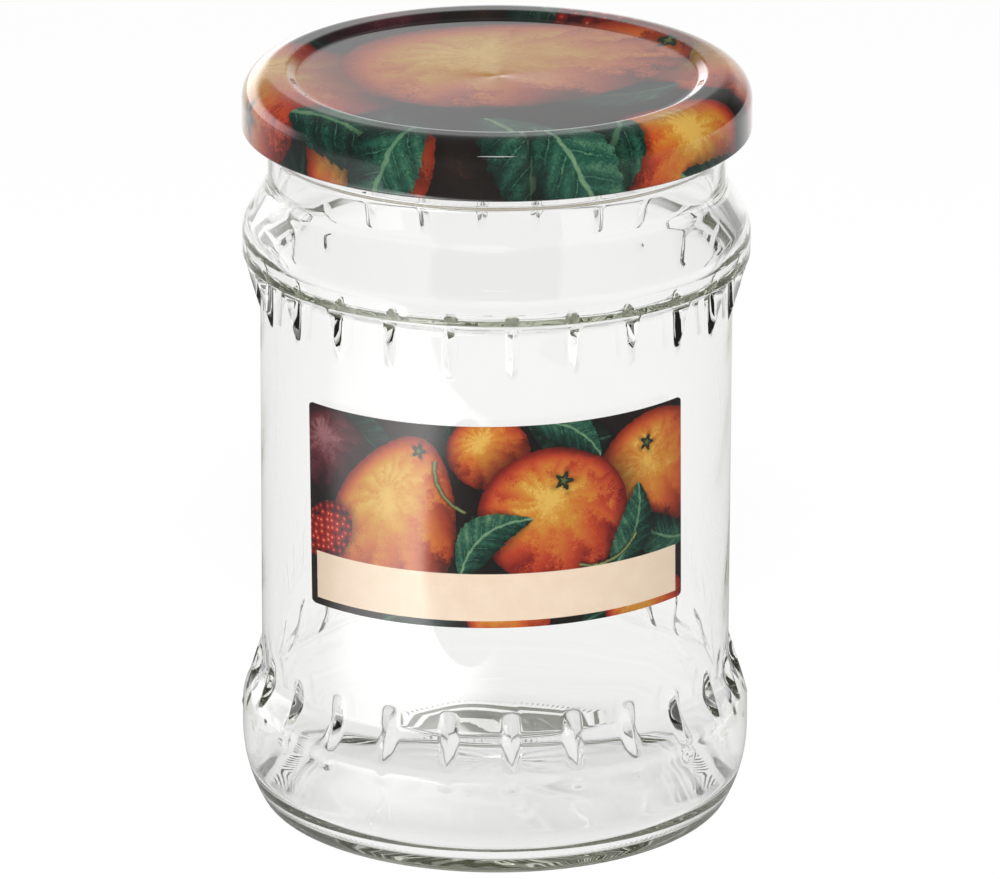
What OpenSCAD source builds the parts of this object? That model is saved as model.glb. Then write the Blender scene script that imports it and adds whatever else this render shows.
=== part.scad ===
// Jam pot: a fluted glass jar with a printed twist-off lid and a wrap label.
// Millimetres, +Z up. The origin is the middle of the base; the label faces -Y.

/* [Jar wall] */
// Height of the glass, from the table to the top of the lip
jar_h = 126.6; // [118:0.2:140]
// Outer radius of the plain wall between the two bulges
body_r = 39.5; // [38:0.1:40.5]
// Thickness of the glass wall
wall_t = 2.4; // [1.8:0.1:3]
// Angle of the step between wall and shoulder bulge, from upright, in degrees
step_slope = 60; // [45:1:75]
// Rounding of a step's outer edge
step_edge_r = 0.9; // [0.3:0.1:1.2]
// Rounding of a step's inner corner
step_corner_r = 1.2; // [0.3:0.1:1.6]
// Height over which the inside of the wall follows the shoulder or the heel
step_inside_h = 7; // [5:0.5:7]

/* [Heel and base] */
// How far the bulge above the base stands out of the plain wall
heel_bulge = 3.3; // [2.1:0.1:5.5]
// Height of the bulge's top edge
heel_edge_z = 17.2; // [16:0.1:20]
// Rounding where the bulge turns in towards the wall
heel_edge_r = 6; // [3:0.5:8]
// Rounding of the hollow where it runs out into the wall
heel_corner_r = 5; // [3:0.5:8]
// Angle of the slope between the two roundings, from upright, in degrees
heel_slope = 35; // [28:1:45]
// Radius of the long curve below the bulge
heel_sweep_r = 23.3; // [18:0.1:26]
// Turn of the long curve, in degrees
heel_sweep_angle = 29; // [22:0.5:34]
// Rounding between the long curve and the bearing ring
foot_round_r = 3.2; // [2:0.1:4]
// Width of the flat ring that the jar stands on
bearing_w = 2.4; // [1:0.1:4]
// Height of the hollow under the base
push_up_h = 2.4; // [1:0.1:4]
// Thickness of the base at its middle
base_t = 2.6; // [2:0.1:5]
// Height of the inside floor at its lowest ring
floor_z = 3; // [2.5:0.1:4.5]
// Rounding between the inside floor and the wall
floor_corner_r = 5.5; // [3:0.5:7]

/* [Shoulder and neck] */
// How far the bulge below the neck stands out of the plain wall
shoulder_bulge = 2.9; // [2.1:0.1:5.5]
// Straight height of the bulge
shoulder_band_h = 3.3; // [1:0.1:5]
// Rounding at the top of the bulge
shoulder_round_r = 5; // [3.5:0.1:8]
// Slope of the shoulder, from upright, in degrees
shoulder_slope = 29; // [26:0.5:40]
// Rounding where the shoulder runs into the neck
neck_round_r = 3; // [2:0.1:5]
// Straight height of the neck, from the shoulder to the mould's parting line
neck_h = 5.05; // [3:0.05:8]
// How far the neck lies inside the finish above it
neck_inset = 1.1; // [0.3:0.05:1.2]

/* [Finish] */
// How far the finish, the part of the neck inside the lid, lies inside the plain wall
finish_inset = 0.3; // [0:0.1:1]
// Height of the finish, from the mould's parting line to the lip
finish_h = 11.1; // [10:0.1:12]
// Thickness of the glass at the lip
lip_w = 3; // [2.4:0.1:3.6]
// Rounding of the lip's two edges
lip_round_r = 1.2; // [0.5:0.1:1.2]
// How far a thread stands out of the finish
thread_reach = 1.7; // [1.2:0.1:2]
// Height of the thread's ridge
thread_w = 1.5; // [1:0.1:1.7]
// How far a thread falls from its open end to its tight end
thread_fall = 1.2; // [0.5:0.1:1.6]
// Number of threads, and of lugs on the lid
thread_count = 6; // [4:1:8]
// Angle left open between two threads, in degrees
thread_gap_angle = 19; // [17:0.5:22]

/* [Flutes] */
// Number of flutes in each of the two rows
flute_count = 24; // [12:1:30]
// Angle of the first flute from the middle of the label, in degrees
flute_phase = 3.9; // [0:0.1:15]
// Width of a flute
flute_w = 1.7; // [1:0.1:2.2]
// Length of an upper flute below the shoulder bulge's edge
upper_flute_l = 9.6; // [8:0.1:12]
// Length of a lower flute
lower_flute_l = 9.9; // [8:0.1:12]
// Height of a lower flute's foot above the heel bulge's edge
lower_flute_foot = 1.5; // [0.5:0.1:2.5]
// Height of the crest of an upper flute over its chord
upper_flute_crown = 0.15; // [0.05:0.05:0.6]
// Height of the crest of a lower flute over its chord
lower_flute_crown = 0.4; // [0.15:0.05:0.6]

/* [Lid] */
// Height of the lid, from the skirt's edge to the rim
lid_h = 9.75; // [9.5:0.05:10.2]
// Thickness of the tinplate
tin_t = 0.25; // [0.2:0.01:0.35]
// Rounding between the rim and the skirt
lid_corner_r = 4.6; // [4:0.1:4.8]
// Width of the raised rim, from the skirt to the foot of the step round the panel
rim_w = 9.2; // [8.8:0.1:12]
// Depth of the sunken panel below the rim
panel_drop = 1; // [0.7:0.05:1.1]
// Slope of the step round the panel, in degrees
panel_slope = 35; // [30:1:60]
// Rounding at the foot and the top of that step
panel_round_r = 0.8; // [0.5:0.05:1]
// Diameter of the inward curl at the skirt's edge
curl_d = 1.3; // [1.1:0.05:1.6]
// Angle that one lug spans, in degrees
lug_angle = 13; // [10:0.5:14]
// Thickness of a lug
lug_t = 1; // [0.7:0.05:1.1]

/* [Sealing ring] */
// Thickness of the sealing ring over the lip
seal_t = 1; // [0.7:0.05:1.3]

/* [Label] */
// Length of the label round the jar
label_l = 70; // [50:0.5:90]
// Height of the label, as a share of the plain wall between the two rows of flutes
label_h_share = 0.6025; // [0.4:0.0005:0.7]
// Thickness of the label
label_t = 0.12; // [0.08:0.01:0.2]
// Height of the label's middle, as a share of that wall
label_mid_share = 0.568; // [0.45:0.001:0.62]
// Lean of the label, which is stuck on by hand, in degrees
label_lean = 1; // [0:0.1:2]
// Rounding of the label's corners
label_corner_r = 0.8; // [0.3:0.1:3]

/* [Fits] */
// Gap round the sealing ring, to the lid above and the lip below
seal_gap = 0.12; // [0.08:0.01:0.2]
// Gap between the threads and the lid's curl
thread_gap = 0.2; // [0.15:0.01:0.4]
// Gap between the lugs and the finish
lug_gap = 0.3; // [0.15:0.01:0.5]
// Gap between a lug and the tight end of its thread
grip_gap = 0.3; // [0.15:0.01:0.5]
// Adhesive between the label and the glass
glue_t = 0.08; // [0.02:0.01:0.12]

/* [Hidden] */
$fn = 144;
arc_steps = 6;
curve_steps = 10;
dome_power = 2.5;
overrun = 1;

heel_r = body_r + heel_bulge;
shoulder_r = body_r + shoulder_bulge;
finish_r = body_r - finish_inset;
bearing_r = heel_r - heel_sweep_r * (1 - cos(heel_sweep_angle)) - foot_round_r * cos(heel_sweep_angle);
heel_sweep_z = heel_sweep_r * sin(heel_sweep_angle) + foot_round_r * (1 - sin(heel_sweep_angle));
neck_r = finish_r - neck_inset;
bore_r = finish_r - lip_w;
parting_z = jar_h - finish_h;
body_in_r = body_r - wall_t;
heel_in_r = heel_r - wall_t;
shoulder_in_r = shoulder_r - wall_t;

thread_r = finish_r + thread_reach;
lid_r = thread_r + thread_gap + curl_d;
panel_r = lid_r - rim_w;
lid_top_z = jar_h + seal_gap + seal_t + seal_gap + tin_t;
lid_bottom_z = lid_top_z - lid_h;
curl_r = curl_d / 2;
curl_z = lid_bottom_z + curl_r;
lug_top_z = curl_z + lug_t / 2;
lug_tip_r = finish_r + lug_gap;
thread_pitch_angle = 360 / thread_count;
thread_angle = thread_pitch_angle - thread_gap_angle;
thread_low_z = lug_top_z + grip_gap + thread_w / 2;
thread_mid_z = thread_low_z + thread_fall / 2;
thread_tilt = atan(thread_fall / (2 * thread_r * sin(thread_angle / 2)));

label_r = body_r + glue_t;
front_angle = -90;

// Points of an arc about c, from angle a to angle b
function arc(c, r, a, b) = [
    for (i = [0:arc_steps])
        let (t = a + (b - a) * i / arc_steps)
            [c[0] + r * cos(t), c[1] + r * sin(t)]
];

// Radii of an ogee, drawn in where the two sides are too close for them
function ogee_scale(side, edge_r, corner_r, slope) =
    min(1, side / ((edge_r + corner_r) * (1 - cos(slope))));

// Straight stretch of an ogee, along its slope
function ogee_line(side, edge_r, corner_r, slope) =
    (side - (edge_r + corner_r) * (1 - cos(slope))) / sin(slope);

// Rise of an ogee from its round edge to its hollow corner
function ogee_rise(from_r, to_r, edge, corner, slope) =
    let (side = from_r - to_r, k = ogee_scale(side, edge, corner, slope))
        (edge + corner) * k * sin(slope) + ogee_line(side, edge * k, corner * k, slope) * cos(slope);

// Ogee from an upright at from_r, z, to an upright at to_r; way is 1 upwards and -1 downwards
function ogee(from_r, z, to_r, edge, corner, slope, way) =
    let (
        k = ogee_scale(from_r - to_r, edge, corner, slope),
        rise = ogee_rise(from_r, to_r, edge, corner, slope)
    )
        concat(
            arc([from_r - edge * k, z], edge * k, 0, way * slope),
            arc([to_r + corner * k, z + way * rise], corner * k, 180 + way * slope, 180)
        );

// Smooth change of the inside radius, from r1 at z1 to r2 at z2
function blend(r1, z1, r2, z2) = [
    for (i = [0:curve_steps])
        let (t = i / curve_steps, s = t * t * (3 - 2 * t))
            [r1 + (r2 - r1) * s, z1 + (z2 - z1) * t]
];

function backwards(points) = [for (i = [len(points) - 1:-1:0]) points[i]];

// Shapes of a dome from its middle to its rim, as shares of its radius and of its height
function round_dome() = [for (i = [1:curve_steps]) let (t = i / curve_steps) [t, 1 - pow(t, dome_power)]];
function soft_dome() = [for (i = [1:curve_steps]) let (t = i / curve_steps) [t, 1 - t * t * (3 - 2 * t)]];

// Outline of a dome of that shape, with a small flat at its middle
function dome_line(r, middle_z, rim_z, shape) =
    concat(
        [[0, rim_z + (middle_z - rim_z) * shape[0][1]]],
        [for (p = shape) [r * p[0], rim_z + (middle_z - rim_z) * p[1]]]
    );

heel_rise = ogee_rise(heel_r, body_r, heel_edge_r, heel_corner_r, heel_slope);
step_rise_shoulder = ogee_rise(shoulder_r, body_r, step_edge_r, step_corner_r, step_slope);
shoulder_rise = ogee_rise(shoulder_r, neck_r, shoulder_round_r, neck_round_r, shoulder_slope);
neck_z = parting_z - neck_h;
shoulder_top_z = neck_z - shoulder_rise;
shoulder_edge_z = shoulder_top_z - shoulder_band_h;
heel_step_z = heel_edge_z + heel_rise / 2;
shoulder_step_z = shoulder_edge_z - step_rise_shoulder / 2;

lower_flute_r = heel_r - heel_edge_r + sqrt(pow(heel_edge_r, 2) - pow(lower_flute_foot, 2));
lower_flute_foot_z = heel_edge_z + lower_flute_foot;
lower_flute_z = lower_flute_foot_z + lower_flute_l;
upper_flute_z = shoulder_edge_z - upper_flute_l;
label_h = label_h_share * (upper_flute_z - lower_flute_z);
label_mid_z = lower_flute_z + label_mid_share * (upper_flute_z - lower_flute_z);

// Outline of the solid jar, from the middle of the base to the middle of the mouth
function jar_outline() =
    let (
        foot_c = [bearing_r, foot_round_r],
        sweep_c = [heel_r - heel_sweep_r, heel_sweep_z],
        hollow_r = bearing_r - bearing_w
    )
        concat(
            dome_line(hollow_r, push_up_h, 0, round_dome()),
            arc(foot_c, foot_round_r, -90, -heel_sweep_angle),
            arc(sweep_c, heel_sweep_r, -heel_sweep_angle, 0),
            ogee(heel_r, heel_edge_z, body_r, heel_edge_r, heel_corner_r, heel_slope, 1),
            backwards(
                ogee(shoulder_r, shoulder_edge_z, body_r, step_edge_r, step_corner_r, step_slope, -1)
            ),
            ogee(shoulder_r, shoulder_top_z, neck_r, shoulder_round_r, neck_round_r, shoulder_slope, 1),
            [[neck_r, parting_z], [finish_r, parting_z + neck_inset]],
            arc([finish_r - lip_round_r, jar_h - lip_round_r], lip_round_r, 0, 90),
            [[0, jar_h]]
        );

// Outline of the space inside, open at the mouth
function cavity_outline() =
    let (
        floor_r = heel_in_r - floor_corner_r,
        middle_z = push_up_h + base_t,
        half_h = step_inside_h / 2
    )
        concat(
            dome_line(floor_r, middle_z, floor_z, soft_dome()),
            arc([floor_r, floor_z + floor_corner_r], floor_corner_r, -90, 0),
            blend(heel_in_r, heel_step_z - half_h, body_in_r, heel_step_z + half_h),
            blend(body_in_r, shoulder_step_z - half_h, shoulder_in_r, shoulder_step_z + half_h),
            blend(shoulder_in_r, shoulder_top_z, bore_r, neck_z),
            backwards(arc([bore_r + lip_round_r, jar_h - lip_round_r], lip_round_r, 90, 180)),
            [[bore_r + lip_round_r, jar_h + overrun], [0, jar_h + overrun]]
        );

// One flute: a curved rib whose round crest runs from a low to a high point of the wall
module flute(low, high, crown) {
    chord = norm(high - low);
    crest_r = (chord * chord / 4 + crown * crown) / (2 * crown);
    lean = atan2(low[0] - high[0], high[1] - low[1]);
    middle = (low + high) / 2;
    centre = middle - (crest_r - crown) * [cos(lean), sin(lean)];
    half_angle = asin(chord / (2 * crest_r));
    nose_r = flute_w / 2;
    root = wall_t + nose_r;
    translate([centre[0], 0, centre[1]])
        rotate([90, 0, 0])
            rotate([0, 0, lean - half_angle])
                rotate_extrude(angle = 2 * half_angle)
                    union() {
                        translate([crest_r - nose_r, 0])
                            circle(r = nose_r, $fn = 32);
                        translate([crest_r - root, -nose_r])
                            square([root - nose_r, flute_w]);
                    }
}

module flute_row(low, high, crown) {
    for (i = [0:flute_count - 1])
        rotate([0, 0, front_angle + flute_phase + i * 360 / flute_count])
            flute(low, high, crown);
}

// Threads: a row of arcs, each leaning down towards its tight end
module threads() {
    for (i = [0:thread_count - 1])
        rotate([0, 0, (i + 0.5) * thread_pitch_angle])
            translate([0, 0, thread_mid_z])
                rotate([thread_tilt, 0, 0])
                    rotate([0, 0, -thread_angle / 2])
                        rotate_extrude(angle = thread_angle)
                            union() {
                                translate([thread_r - thread_w / 2, 0])
                                    circle(d = thread_w, $fn = 32);
                                translate([finish_r - lip_w / 2, -thread_w / 2])
                                    square([thread_r - thread_w / 2 - finish_r + lip_w / 2, thread_w]);
                            }
}

module glass_jar() {
    color([0.86, 0.9, 0.87, 0.45])
        difference() {
            union() {
                rotate_extrude()
                    polygon(jar_outline());
                flute_row([body_r, upper_flute_z], [shoulder_r, shoulder_edge_z], upper_flute_crown);
                flute_row([lower_flute_r, lower_flute_foot_z], [body_r, lower_flute_z], lower_flute_crown);
                threads();
            }
            rotate_extrude()
                polygon(cavity_outline());
        }
}

// Line of the tinplate at a depth below its outer face, from the middle to the curl's end
function tin_line(depth) =
    let (
        panel_z = lid_top_z - panel_drop,
        turn = (1 - cos(panel_slope)) * 2 * panel_round_r,
        run = 2 * panel_round_r * sin(panel_slope) + (panel_drop - turn) / tan(panel_slope)
    )
        concat(
            [[0, panel_z - depth]],
            arc([panel_r, panel_z + panel_round_r], panel_round_r + depth, -90, panel_slope - 90),
            arc([panel_r + run, lid_top_z - panel_round_r], panel_round_r - depth, 90 + panel_slope, 90),
            arc([lid_r - lid_corner_r, lid_top_z - lid_corner_r], lid_corner_r - depth, 90, 0),
            arc([lid_r - curl_r, curl_z], curl_r - depth, 0, -90),
            arc([lid_r - curl_r, curl_z], curl_r - depth, -90, -180),
            arc([lid_r - curl_r, curl_z], curl_r - depth, -180, -250)
        );

module lid_shell() {
    color([0.72, 0.3, 0.12])
        union() {
            rotate_extrude()
                polygon(concat(tin_line(0), backwards(tin_line(tin_t))));
            for (i = [0:thread_count - 1])
                rotate([0, 0, i * thread_pitch_angle - lug_angle / 2])
                    translate([0, 0, lug_top_z - lug_t])
                        rotate_extrude(angle = lug_angle)
                            translate([lug_tip_r, 0])
                                square([lid_r - tin_t / 2 - lug_tip_r, lug_t]);
        }
}

module sealing_ring() {
    bottom_z = jar_h + seal_gap;
    inset = tin_t + seal_gap;
    corner = [lid_r - lid_corner_r, lid_top_z - lid_corner_r];
    outer_r = lid_corner_r - inset;
    end_angle = asin((bottom_z + seal_t / 2 - corner[1]) / outer_r);
    color([0.88, 0.86, 0.8])
        rotate_extrude()
            polygon(concat(
                [[bore_r, bottom_z], [bore_r, bottom_z + seal_t]],
                arc(corner, outer_r, 90, end_angle),
                [[finish_r + lug_gap, bottom_z]]
            ));
}

// Label blank, lying in the XZ plane with its middle at the origin
module label_blank() {
    chord = 2 * label_r * sin(label_l * 90 / (PI * label_r));
    x = chord / 2 - label_corner_r;
    z = label_h / 2 - label_corner_r;
    rotate([90, 0, 0])
        linear_extrude(height = label_r + overrun)
            union() {
                square([chord - 2 * label_corner_r, label_h], center = true);
                square([chord, label_h - 2 * label_corner_r], center = true);
                for (side = [-1, 1], end = [-1, 1])
                    translate([side * x, end * z])
                        circle(r = label_corner_r, $fn = 32);
            }
}

module label() {
    color([0.8, 0.52, 0.3])
        intersection() {
            difference() {
                cylinder(r = label_r + label_t, h = jar_h);
                translate([0, 0, -overrun])
                    cylinder(r = label_r, h = jar_h + 2 * overrun);
            }
            translate([0, 0, label_mid_z])
                rotate([0, -label_lean, 0])
                    label_blank();
        }
}

glass_jar();
lid_shell();
sealing_ring();
label();
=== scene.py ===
import bpy
import math
import numpy as np
from mathutils import Matrix, Vector


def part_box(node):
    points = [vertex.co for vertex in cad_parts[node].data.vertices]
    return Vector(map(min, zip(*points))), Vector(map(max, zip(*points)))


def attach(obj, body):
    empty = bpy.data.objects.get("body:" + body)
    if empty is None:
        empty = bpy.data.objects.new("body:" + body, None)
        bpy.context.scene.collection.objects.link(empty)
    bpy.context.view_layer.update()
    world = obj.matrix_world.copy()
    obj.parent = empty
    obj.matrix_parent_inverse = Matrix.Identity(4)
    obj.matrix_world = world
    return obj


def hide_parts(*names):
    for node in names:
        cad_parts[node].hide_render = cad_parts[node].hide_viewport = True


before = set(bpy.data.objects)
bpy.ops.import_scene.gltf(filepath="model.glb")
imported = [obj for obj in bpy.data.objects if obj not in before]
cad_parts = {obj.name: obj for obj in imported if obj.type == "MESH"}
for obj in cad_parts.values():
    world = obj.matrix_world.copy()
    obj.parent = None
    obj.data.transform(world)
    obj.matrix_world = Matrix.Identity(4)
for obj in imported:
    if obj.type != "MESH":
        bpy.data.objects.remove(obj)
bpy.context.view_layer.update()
print("frame loaded")

mm = 0.001                    # in metres: outlines are worked out in millimetres


def boxSize(node):
    low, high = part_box(node)
    return [value / mm for value in low], [value / mm for value in high]


def arcLine(centre, radius, start, end, step):
    # points of an arc in the r, z plane; angles in degrees
    count = max(2, int(abs(math.radians(end - start)) * radius / step) + 1)
    angles = np.radians(np.linspace(start, end, count + 1))
    return np.stack([centre[0] + radius * np.cos(angles), centre[1] + radius * np.sin(angles)], 1)


def straightLine(start, end, step):
    count = max(1, int(math.dist(start, end) / step + 0.5))
    share = np.linspace(0, 1, count + 1)[:, None]
    return np.array(start) * (1 - share) + np.array(end) * share


def easeLine(start, end, step):
    # runs from start to end with an upright tangent at both
    count = max(2, int(math.dist(start, end) / step + 0.5))
    share = np.linspace(0, 1, count + 1)
    soft = share * share * (3 - 2 * share)
    return np.stack([start[0] + (end[0] - start[0]) * soft, start[1] + (end[1] - start[1]) * share], 1)


def ogeeLine(fromR, z, toR, edge, corner, slope, way, step):
    # a round edge, a straight stretch and a hollow corner between two uprights
    side, turn = fromR - toR, math.radians(slope)
    straight = (side - (edge + corner) * (1 - math.cos(turn))) / math.sin(turn)
    rise = (edge + corner) * math.sin(turn) + straight * math.cos(turn)
    first = arcLine((fromR - edge, z), edge, 0, way * slope, step)
    last = arcLine((toR + corner, z + way * rise), corner, 180 + way * slope, 180, step)
    return joinLines(first, straightLine(first[-1], last[0], step), last), rise


def joinLines(*lines):
    # leaves out a line's first point where it repeats the last one before it
    samePlace = 1e-4
    kept = [lines[0]]
    for line in lines[1:]:
        kept.append(line[1:] if math.dist(kept[-1][-1], line[0]) < samePlace else line)
    return np.concatenate(kept)


def smoothMax(a, b, softness):
    near = np.maximum(softness - np.abs(a - b), 0) / softness
    return np.maximum(a, b) + near * near * softness / 4


def window(value, middle, half, fade):
    # 1 within half of the middle, easing to 0 over fade
    t = np.clip((half + fade - np.abs(value - middle)) / fade, 0, 1)
    return t * t * (3 - 2 * t)


def spinMesh(name, radius, height, angle):
    # a closed surface of revolution from tables of r, z and angle, in mm and radians
    # each row of the tables is a ring, and a point on the axis closes the first and the last
    rows, columns = radius.shape
    points = np.stack([radius * np.cos(angle), radius * np.sin(angle), height], 2).reshape(-1, 3) * mm
    poles = np.array([[0, 0, height[0].mean() * mm], [0, 0, height[-1].mean() * mm]])
    index = np.arange(rows * columns).reshape(rows, columns)
    after = np.roll(index, -1, axis=1)
    quads = np.stack([index[:-1], after[:-1], after[1:], index[1:]], 2).reshape(-1, 4)
    firstFan = np.stack([np.full(columns, rows * columns), after[0], index[0]], 1)
    lastFan = np.stack([np.full(columns, rows * columns + 1), index[-1], after[-1]], 1)
    return meshPiece(name, np.concatenate([points, poles]), quads, firstFan, lastFan)


def meshPiece(name, points, *faceTables):
    # each table holds faces of one number of corners
    corners = np.concatenate([np.asarray(table).ravel() for table in faceTables]).astype(np.int32)
    counts = np.concatenate([np.full(len(table), len(table[0]), np.int32) for table in faceTables])
    mesh = bpy.data.meshes.new(name)
    mesh.vertices.add(len(points))
    mesh.vertices.foreach_set("co", np.asarray(points, np.float32).ravel())
    mesh.loops.add(len(corners))
    mesh.loops.foreach_set("vertex_index", corners)
    mesh.polygons.add(len(counts))
    mesh.polygons.foreach_set("loop_start", np.concatenate([[0], np.cumsum(counts)[:-1]]).astype(np.int32))
    mesh.polygons.foreach_set("loop_total", counts)
    mesh.update(calc_edges=True)
    mesh.shade_smooth()
    piece = bpy.data.objects.new(name, mesh)
    bpy.context.scene.collection.objects.link(piece)
    return piece


def markPrint(piece, place):
    # where each point lies on the flat printed sheet, in mm, and 1 on the unprinted side
    attribute = piece.data.attributes.new("printPlace", "FLOAT_VECTOR", "POINT")
    attribute.data.foreach_set("vector", np.ascontiguousarray(place, np.float32).ravel())


class Socket:
    # one output socket of a node tree, with Python's operators for its maths
    def __init__(self, tree, link=None):
        self.tree, self.link = tree, link

    def node(self, kind, settings=None, inputs=None, output=0):
        # adds a node: its settings first, then the values or links of its sockets
        made = self.tree.nodes.new(kind)
        for name, value in (settings or {}).items():
            if name == "stops":
                for spare in range(len(value) - len(made.color_ramp.elements)):
                    made.color_ramp.elements.new(0.5)
                for element, (place, colour) in zip(made.color_ramp.elements, value):
                    element.position, element.color = place, (*colour, 1)
            else:
                setattr(made, name, value)
        for name, value in (inputs or {}).items():
            if isinstance(value, Socket):
                self.tree.links.new(value.link, made.inputs[name])
            else:
                made.inputs[name].default_value = value
        return Socket(self.tree, made.outputs[output] if len(made.outputs) else None)

    def other(self, output):
        # another output of the same node
        return Socket(self.tree, self.link.node.outputs[output])

    def maths(self, operation, *terms):
        return self.node("ShaderNodeMath", {"operation": operation}, dict(enumerate(terms)))

    def __add__(self, other):
        return self.maths("ADD", self, other)

    __radd__ = __add__

    def __sub__(self, other):
        return self.maths("SUBTRACT", self, other)

    def __rsub__(self, other):
        return self.maths("SUBTRACT", other, self)

    def __mul__(self, other):
        return self.maths("MULTIPLY", self, other)

    __rmul__ = __mul__

    def __truediv__(self, other):
        return self.maths("DIVIDE", self, other)

    def __rtruediv__(self, other):
        return self.maths("DIVIDE", other, self)

    def __pow__(self, other):
        return self.maths("POWER", self, other)

    def apply(self, operation, *others):
        # any other Math operation, with this socket as its first term
        return self.maths(operation, self, *others)

    def absolute(self):
        return self.apply("ABSOLUTE")

    def fraction(self):
        return self.apply("FRACT")

    def least(self, other):
        return self.apply("MINIMUM", other)

    def most(self, other):
        return self.apply("MAXIMUM", other)

    def root(self):
        return self.most(0.0).apply("SQRT")

    def step(self, start, end):
        # 0 at start, 1 at end, eased between them
        return self.node("ShaderNodeMapRange", {"interpolation_type": "SMOOTHSTEP"},
                         {"Value": self, "From Min": start, "From Max": end})

    def ramp(self, stops):
        return self.node("ShaderNodeValToRGB", {"stops": stops}, {"Fac": self})

    def over(self, below, colour):
        # self as a mask that lays colour over below
        return self.node("ShaderNodeMix", {"data_type": "RGBA"},
                         {"Factor": self, 6: below, 7: colour}, output=2)


def newMaterial(name):
    material = bpy.data.materials.new(name)
    material.use_nodes = True
    material.node_tree.nodes.clear()
    return material, Socket(material.node_tree)


def putOut(start, surface, volume=None):
    inside = {"Volume": volume} if volume else {}
    start.node("ShaderNodeOutputMaterial", {}, {"Surface": surface, **inside})


def srgb(red, green, blue):
    # an sRGB colour of 0 to 255 as the linear values of a socket, by the standard's own curve
    return tuple(((level / 255 + 0.055) / 1.055) ** 2.4 if level > 10 else level / 255 / 12.92
                 for level in (red, green, blue))


jarHigh = boxSize("glass_jar")[1]
jarSizes = {                  # mm and degrees
    "heelR": jarHigh[0],
    "height": jarHigh[2],
    "wallR": jarHigh[0] - 3.3,
    "wallT": 2.4,
    "heelEdgeZ": 17.2, "heelEdgeR": 6, "heelCornerR": 5, "heelSlope": 35,
    "sweepR": 23.3, "sweepTurn": 29, "footR": 3.2,
    "bearingW": 2.4, "pushUp": 2.4, "hollowPower": 2.5, "baseT": 2.6, "floorZ": 3, "floorCornerR": 5.5,
    "stepEdgeR": 0.9, "stepCornerR": 1.2, "stepSlope": 60, "stepInside": 7, "foldUp": 1,
    "shoulderR": jarHigh[0] - 0.4,
    "bandH": 3.3, "shoulderRound": 5, "neckRound": 3, "shoulderSlope": 29,
    "neckH": 5.05, "neckInset": 1.1,
    "finishR": jarHigh[0] - 3.6,
    "finishH": 11.1, "lipW": 3, "lipRound": 1.2,
    "threads": 6, "threadReach": 1.7, "threadW": 1.5, "threadFall": 1.2, "threadGap": 19,
    "threadMidZ": jarHigh[2] - 5.46,
    "threadFade": 0.05,           # radians, at each end
    # the ends sink into the neck, and where there is no thread its surface lies well inside
    "threadSink": 0.4, "threadOff": 3, "threadSoft": 0.2, "threadClear": 1,
    "flutes": 24, "flutePhase": 3.9, "fluteSoft": 0.1, "crestSoft": 0.06,
    "fluteR": 41,                 # where the flutes' half-widths are measured
    "crestPast": (1.5, 0.6),      # how far a crest runs on below and above its flute
    "upperFlute": 10, "upperCrown": 0.15, "upperHalfW": 1.05,
    "lowerFlute": 9.9, "lowerCrown": 0.1, "lowerHalfW": 1.5, "lowerFluteFoot": 1.5,
    "knurls": 216, "knurlDepth": 0.12, "knurlInset": 0.6, "knurlHalfW": 1.0, "knurlFade": 0.8,
    "waviness": 0.07,             # about the most; what follows gives its waves
    "waves": 14, "waveTurns": (2, 15), "waveRates": (0.06, 0.42), "waveStrengths": (0.4, 1), "waveSum": 3,
    "insideSeed": 3, "outsideSeed": 8, "floorSeed": 5,
    "outsideShare": 0.25,         # the mould held the outside, so it is more even
    # where the glass waves: middle, half and fade of a range of heights or radii
    "wavyInsideZ": (66, 44, 12), "wavyOutsideZ": (62, 44, 8), "wavyFloorZ": (0, 8, 4),
    "wavyFloorR": ((0, 30, 6), (20, 14, 5)),
    # the mesh: its columns, and the gaps between the points of its outline
    "columnsPerFlute": 34, "columnShares": (0.3, 0.7), "evenZ": (0, 5, 9),
    "fluteMargin": 1,             # the flutes' fine rows run on this far along the wall
    "hollowShares": ((0.03, 0.8, 14), (0.82, 1, 12)), "floorShares": (1, 0.03, 26),
    "gap": {"bulge": 0.8, "bend": 0.4, "foot": 0.35, "flute": 0.36, "wall": 3, "edge": 0.2, "parting": 0.12,
            "finish": 0.3, "lip": 0.25, "bore": 1.2, "fold": 0.6, "innerWall": 2.5},
}


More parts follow.
